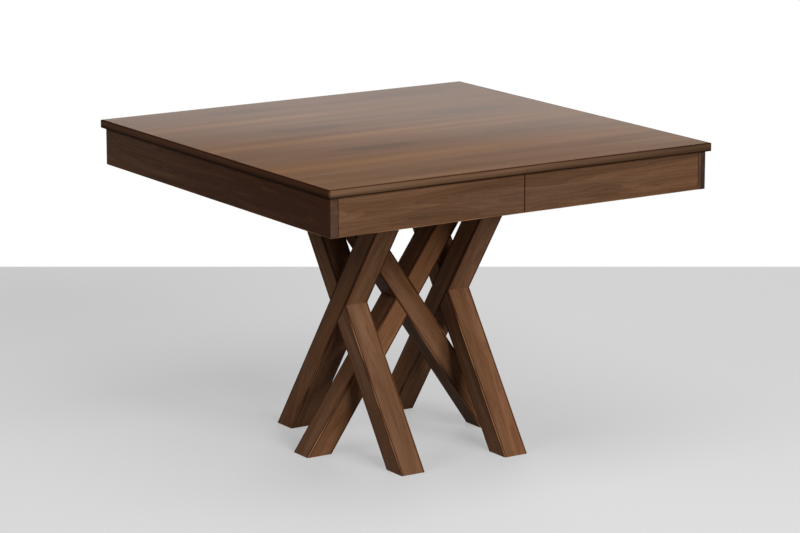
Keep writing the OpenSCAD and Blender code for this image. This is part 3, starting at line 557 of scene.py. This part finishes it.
def veneered_top(name):
    """Leaves of stained walnut, each with two dark eyes along its middle and light joints, inside
    a lipping that is darker at its top arris, painted lighter up its face as the sheen of its
    upper rounding, and darker along its bottom as painted shade, all under a lacquer that is
    glossier on top."""
    material, tree = new_finish(name)
    here = tree.node("ShaderNodeTexCoord", take=3)
    x, y, z = tree.parts(here)
    count = (y - first_joint) / leaf_width
    leaf = count.math("FLOOR")
    t = count - leaf
    in_leaf = tree.vector(x + leaf * 0.02, (t - 0.5) * leaf_width, leaf * 0.02 + 2.0)
    drift = tree.noise(in_leaf, (2.2, 9.0, 9.0)) - 0.5
    broad = tree.noise(in_leaf, (1.6, 17.0, 17.0), 2.0, 0.5, 0.3)
    bands = tree.noise(in_leaf, (1.4, 50.0, 50.0), 3.0, 0.55, 0.3)
    streaks = tree.noise(in_leaf, (5.0, 210.0, 210.0), 3.0, 0.6, 0.2)
    fibres = tree.noise(here, (26.0, 700.0, 700.0), 2.0)
    pores = tree.rise(tree.noise(here, (50.0, 1250.0, 1250.0), 1.0), 0.60, 0.72)
    ragged = tree.noise(in_leaf, (14.0, 60.0, 60.0), 3.0) - 0.5
    tone = ((broad - 0.5) * 0.35 + (bands - 0.5) * 0.20 + (streaks - 0.5) * 0.15
            + (fibres - 0.5) * 0.08 + 0.52)
    eyes = []
    for middle, reach in eye_middles_and_reaches:
        along_eye = (x - middle) / reach
        across_eye = (t - 0.50) * leaf_width / 0.027 + drift * 2.2 + along_eye * 0.25
        from_eye = along_eye * along_eye + across_eye * across_eye + ragged * 1.6
        eyes.append(1.0 - tree.rise(from_eye, 0.25, 1.35))
    dark_eye = eyes[0].math("MAXIMUM", eyes[1]) * (0.25 + 0.75 * tree.rise(y, -0.42, -0.26))
    joint = abs(t - 0.5) + drift * 0.10
    light_joint = tree.rise(joint, 0.39, 0.485) * (1.0 - tree.rise(x + drift, -0.12, 0.38))
    colour = tree.ramp(tone + light_joint * 0.10 - dark_eye * 0.06,
                       stained(walnut_browns, (1.17, 1.30, 1.50)))
    # Warm near the leaves' joints, less so towards the right and the back; the cooler back partly stands
    # for painted sheen.
    warm = (tree.rise(joint + ragged * 0.15, 0.24, 0.47)
            * (0.9 - x * 0.4 - tree.rise(y, 0.0, 0.5) * 0.4))
    colour = tree.tint(warm, colour, (1.11, 1.03, 0.83))
    colour = tree.tint(dark_eye * 0.6, colour, (0.84, 0.95, 1.10))
    colour = tree.tint(pores * 0.30, colour, (0.55, 0.48, 0.44))
    from_long_edge, from_short_edge = half_top - abs(y), half_top - abs(x)
    lip_streaks = tree.noise(tree.vector(y, x, z), (5.0, 260.0, 260.0), 3.0, 0.6)
    long_streaks = tree.noise(here, (5.0, 260.0, 260.0), 3.0, 0.6)
    # Painted light: the lipping grows lighter up its face, for the sheen on its upper rounding, and darker
    # at its foot as painted shade.
    lip_painted_light = tree.rise(z, board_under + 0.0005, board_top - 0.0050) * 0.30
    long_lip = tree.ramp(long_streaks * 0.5 + lip_painted_light - 0.135 - x * 0.27,
                         stained(walnut_browns, (0.94, 1.12, 1.42)))
    short_lip = tree.ramp(lip_streaks * 0.4 + lip_painted_light - 0.12, stained(walnut_browns, (0.94, 0.92, 1.10)))
    # The short lipping is darker towards the front; its lighter back end partly stands for painted sheen.
    short_lip = tree.tint(1.0 - tree.rise(y, -0.50, 0.50), short_lip, (0.70, 0.62, 0.58))
    for from_edge, lip in ((from_long_edge, long_lip), (from_short_edge, short_lip)):
        lipped = 1.0 - tree.rise(from_edge, lipping - 0.0010, lipping - 0.0004)
        colour = tree.cover(lipped, colour, lip)
    nearest = from_long_edge.math("MINIMUM", from_short_edge)
    on_lip = 1.0 - tree.rise(nearest, lipping - 0.0004, lipping + 0.0006)
    # A dark band along the top arris of the lipping, and painted shade along its bottom edge, where it
    # rounds under.
    over = tree.rise(z, board_top - 0.0030, board_top - 0.0018)
    above_painted_shade = tree.rise(z, board_under + 0.0025, board_under + 0.0055)
    colour = tree.tint((over + 1.0 - above_painted_shade) * on_lip * 0.9, colour, (0.34, 0.24, 0.20))
    lacquer = (tree.rise(nearest, lipping - 0.0010, lipping)
               * tree.rise(z, board_top - 0.0020, board_top - 0.0005))
    coat(tree, Base_Color=colour, Roughness=0.52 + 0.10 * streaks + 0.12 * pores,
         Normal=tree.bump(streaks * 0.3 - pores * 0.5, 0.00005, 0.3), Specular_IOR_Level=0.0,
         Coat_Weight=lacquer * (0.48 - pores * 0.12 - streaks * 0.04) + 0.04,
         Coat_Roughness=0.20, Coat_IOR=1.5)
    return material


dress("dark_wood", veneered_top("walnut_veneer"), "top_left", "top_right")


# Aprons
# Boards 91 mm high. The front and back ones part at the joint, and the side ones run the whole
# depth, so that their end grain shows at the front corners. Beech blocks stiffen the corners.
apron_height, apron_thickness, set_back = 0.091, 0.0205, 0.010
apron_outside = half_top - set_back
apron_mid = apron_outside - apron_thickness / 2
apron_mid_height = board_under - apron_height / 2
apron_figure = {"section": (apron_height, apron_thickness), "pooling": 0.15, "arcs": 0.03, "broad": 0.30}
for place, y, seed in [("front", -apron_mid, 21.6), ("back", apron_mid, 23.7)]:
    board = walnut(f"walnut_apron_{place}", (0.0, y, apron_mid_height), (1, 0, 0), (0, 0, 1), seed,
                   cuts=(0.0, apron_outside - apron_thickness), shade=0.155, paler=-0.05,
                   cast=(0.97, 1.06, 1.26), **apron_figure)
    dress("dark_wood", board, f"apron_{place}_left", f"apron_{place}_right")
for side, x, seed, heart in [
    ("left", -apron_mid, 27.3, untinted),
    ("right", apron_mid, 29.8, (0.46, 0.56, 0.66)),
]:
    # The side boards are darker than the others, and darker and redder towards the front; their lighter,
    # greyer back ends are partly painted sheen.
    board = walnut(f"walnut_apron_{side}", (x, 0.0, apron_mid_height), (0, 1, 0), (0, 0, 1), seed,
                   shade=0.32, paler=0.22, cast=(1.03, 1.11, 1.36), reddened=1.0, heart=heart,
                   **apron_figure)
    dress("dark_wood", board, f"apron_side_{side}")
dress("pale_wood", beech_along_y, *[f"corner_block_{place}_{side}"
                                    for side in ("left", "right") for place in ("front", "back")])
dress("pale_wood", beech_along_x, "apron_dowels_left", "apron_dowels_right")


# Slide screws
# Pan-head screws hold the moving rails up to the top and the centre rails down to the base.
for node, body, up in [
    ("slide_screws_left", "left_half", True),
    ("slide_screws_right", "right_half", True),
    ("slide_screws_base", "base", False),
]:
    drive_screws(node, body, up,
                 Shank=0.00225, Length=0.034, Pitch=0.0020, Head=0.0045, Cap=0.003, Recess=0.0022)


# Buttons and short screws
# Beech buttons with a tongue in the aprons' groove pull the top down, and let it swell. Short
# countersunk screws hold them and the plates of the locks.
dress("pale_wood", beech_along_y, "top_buttons_left", "top_buttons_right")
for side in ("left", "right"):
    drive_screws(f"short_screws_{side}", f"{side}_half", True,
                 Shank=0.002, Length=0.016, Pitch=0.0016, Head=0.0038, Cone=0.0018, Recess=0.0019)


# Alignment pins and locks
# Beech pins in blind holes line the halves up. Under the joint, at its front and its back, a
# lever of zinc-plated steel turns on a rivet, until its hook lies over a stud of the other half.
dress("pale_wood", beech_along_x, "alignment_pins")
dress("steel", zinc, "lock_plates", "lock_rivets", "lock_keepers", "lock_lever_front", "lock_lever_back")


# Studio
# A plain pale floor that ends in white, and four soft lamps: a big one at the front, weaker ones
# at the left, above and behind. Reflections show none of them, but a white world, and a dark
# flag behind the table that keeps the white out of the sheen of the top's front.
view_yaw, view_pitch = 0.57565, 0.22029
look = Vector((math.sin(view_yaw), math.cos(view_yaw), 0.0))
aside = Vector((math.cos(view_yaw), -math.sin(view_yaw), 0.0))


def sheet(name, corners, finish):
    """One flat face of the stage. Its corners are depths along the view, widths and heights."""
    shape = bmesh.new()
    shape.faces.new([shape.verts.new(look * depth + aside * width + Vector((0.0, 0.0, height)))
                     for depth, width, height in corners])
    mesh = bpy.data.meshes.new(name)
    shape.to_mesh(mesh)
    shape.free()
    mesh.materials.append(finish)
    piece = bpy.data.objects.new(name, mesh)
    bpy.context.scene.collection.objects.link(piece)
    return piece


def in_sight(tree):
    """1 for the rays of the camera, of reflections and of what is seen through glass."""
    straight, mirrored, through = [tree.node("ShaderNodeLightPath", take=f"Is {kind} Ray")
                                   for kind in ("Camera", "Glossy", "Transmission")]
    return (straight + mirrored + through).math("MINIMUM", 1.0)


def grey(level):
    return (level, level, level, 1.0)


floor_level, floor_near, floor_far, floor_side = -0.0003, -6.0, 1.93, 9.0
pale_floor, tree = new_finish("pale_floor")
seen = in_sight(tree)
paint = tree.node("ShaderNodeBsdfDiffuse", {}, {"Color": tree.cover(seen, grey(0.26), grey(0.62))})
glow = tree.node("ShaderNodeEmission", {}, {"Color": (0.75, 0.75, 0.755, 1.0)})
above = tree.node("ShaderNodeMixShader", {}, {0: seen * 0.5, 1: paint, 2: glow})
from_below = tree.node("ShaderNodeNewGeometry", take="Backfacing")
clear = tree.node("ShaderNodeBsdfTransparent")
one_sided = tree.node("ShaderNodeMixShader", {}, {0: from_below, 1: above, 2: clear})
tree.node("ShaderNodeOutputMaterial", {}, {0: one_sided})
sheet("floor", [
    (floor_near, -floor_side, floor_level), (floor_near, floor_side, floor_level),
    (floor_far, floor_side, floor_level), (floor_far, -floor_side, floor_level),
], pale_floor)

flag_back, flag_side, flag_foot, flag_head = 0.85, 2.5, 0.945, 3.4
dark_cloth, tree = new_finish("dark_cloth")
coat(tree, Base_Color=grey(0.02), Roughness=1.0, Specular_IOR_Level=0.0)
flag = sheet("flag", [
    (flag_back, -flag_side, flag_foot), (flag_back, flag_side, flag_foot),
    (flag_back, flag_side, flag_head), (flag_back, -flag_side, flag_head),
], dark_cloth)
for kind in ("camera", "diffuse", "shadow", "transmission"):
    setattr(flag, f"visible_{kind}", False)

world = bpy.data.worlds.new("studio")
world.use_nodes = True
world.node_tree.nodes.clear()
bpy.context.scene.world = world
tree = Tree(world.node_tree)
seen = in_sight(tree)
unseen_light = 0.11
white = tree.node("ShaderNodeBackground", {}, {
    "Color": grey(1.0), "Strength": seen * (1.0 - unseen_light) + unseen_light,
})
tree.node("ShaderNodeOutputWorld", {}, {0: white})


def soft_lamp(name, place, aim, size, watts):
    """Lamp of a given width and height, which neither the camera nor a reflection shows."""
    lamp = bpy.data.lights.new(name, "AREA")
    lamp.shape = "RECTANGLE"
    lamp.size, lamp.size_y = size
    lamp.energy = watts
    holder = bpy.data.objects.new(name, lamp)
    holder.location = place
    holder.rotation_euler = (Vector(aim) - Vector(place)).to_track_quat("-Z", "Y").to_euler()
    holder.visible_camera = holder.visible_glossy = False
    bpy.context.scene.collection.objects.link(holder)


mid_table, table_foot = (0.0, 0.0, 0.40), (0.0, 0.0, 0.0)
soft_lamp("key", (0.4, -8.3, 3.9), mid_table, (5.8, 3.4), 790)
soft_lamp("fill", (-5.2, 0.3, 3.8), mid_table, (4.4, 2.0), 92)
soft_lamp("overhead", (0.0, -1.0, 3.2), table_foot, (2.4, 1.6), 42)
soft_lamp("behind", (4.0, 5.5, 2.4), mid_table, (4.0, 2.6), 230)

camera = bpy.data.cameras.new("camera")
camera.sensor_width = 36.0
camera.lens = 147.23
eye = bpy.data.objects.new("camera", camera)
eye.location = (-4.23461, -6.52464, 2.17435)
eye.rotation_euler = (quarter_turn - view_pitch, 0.0, -view_yaw)
bpy.context.scene.collection.objects.link(eye)
bpy.context.scene.camera = eye
bpy.context.scene.view_settings.view_transform = "Standard"
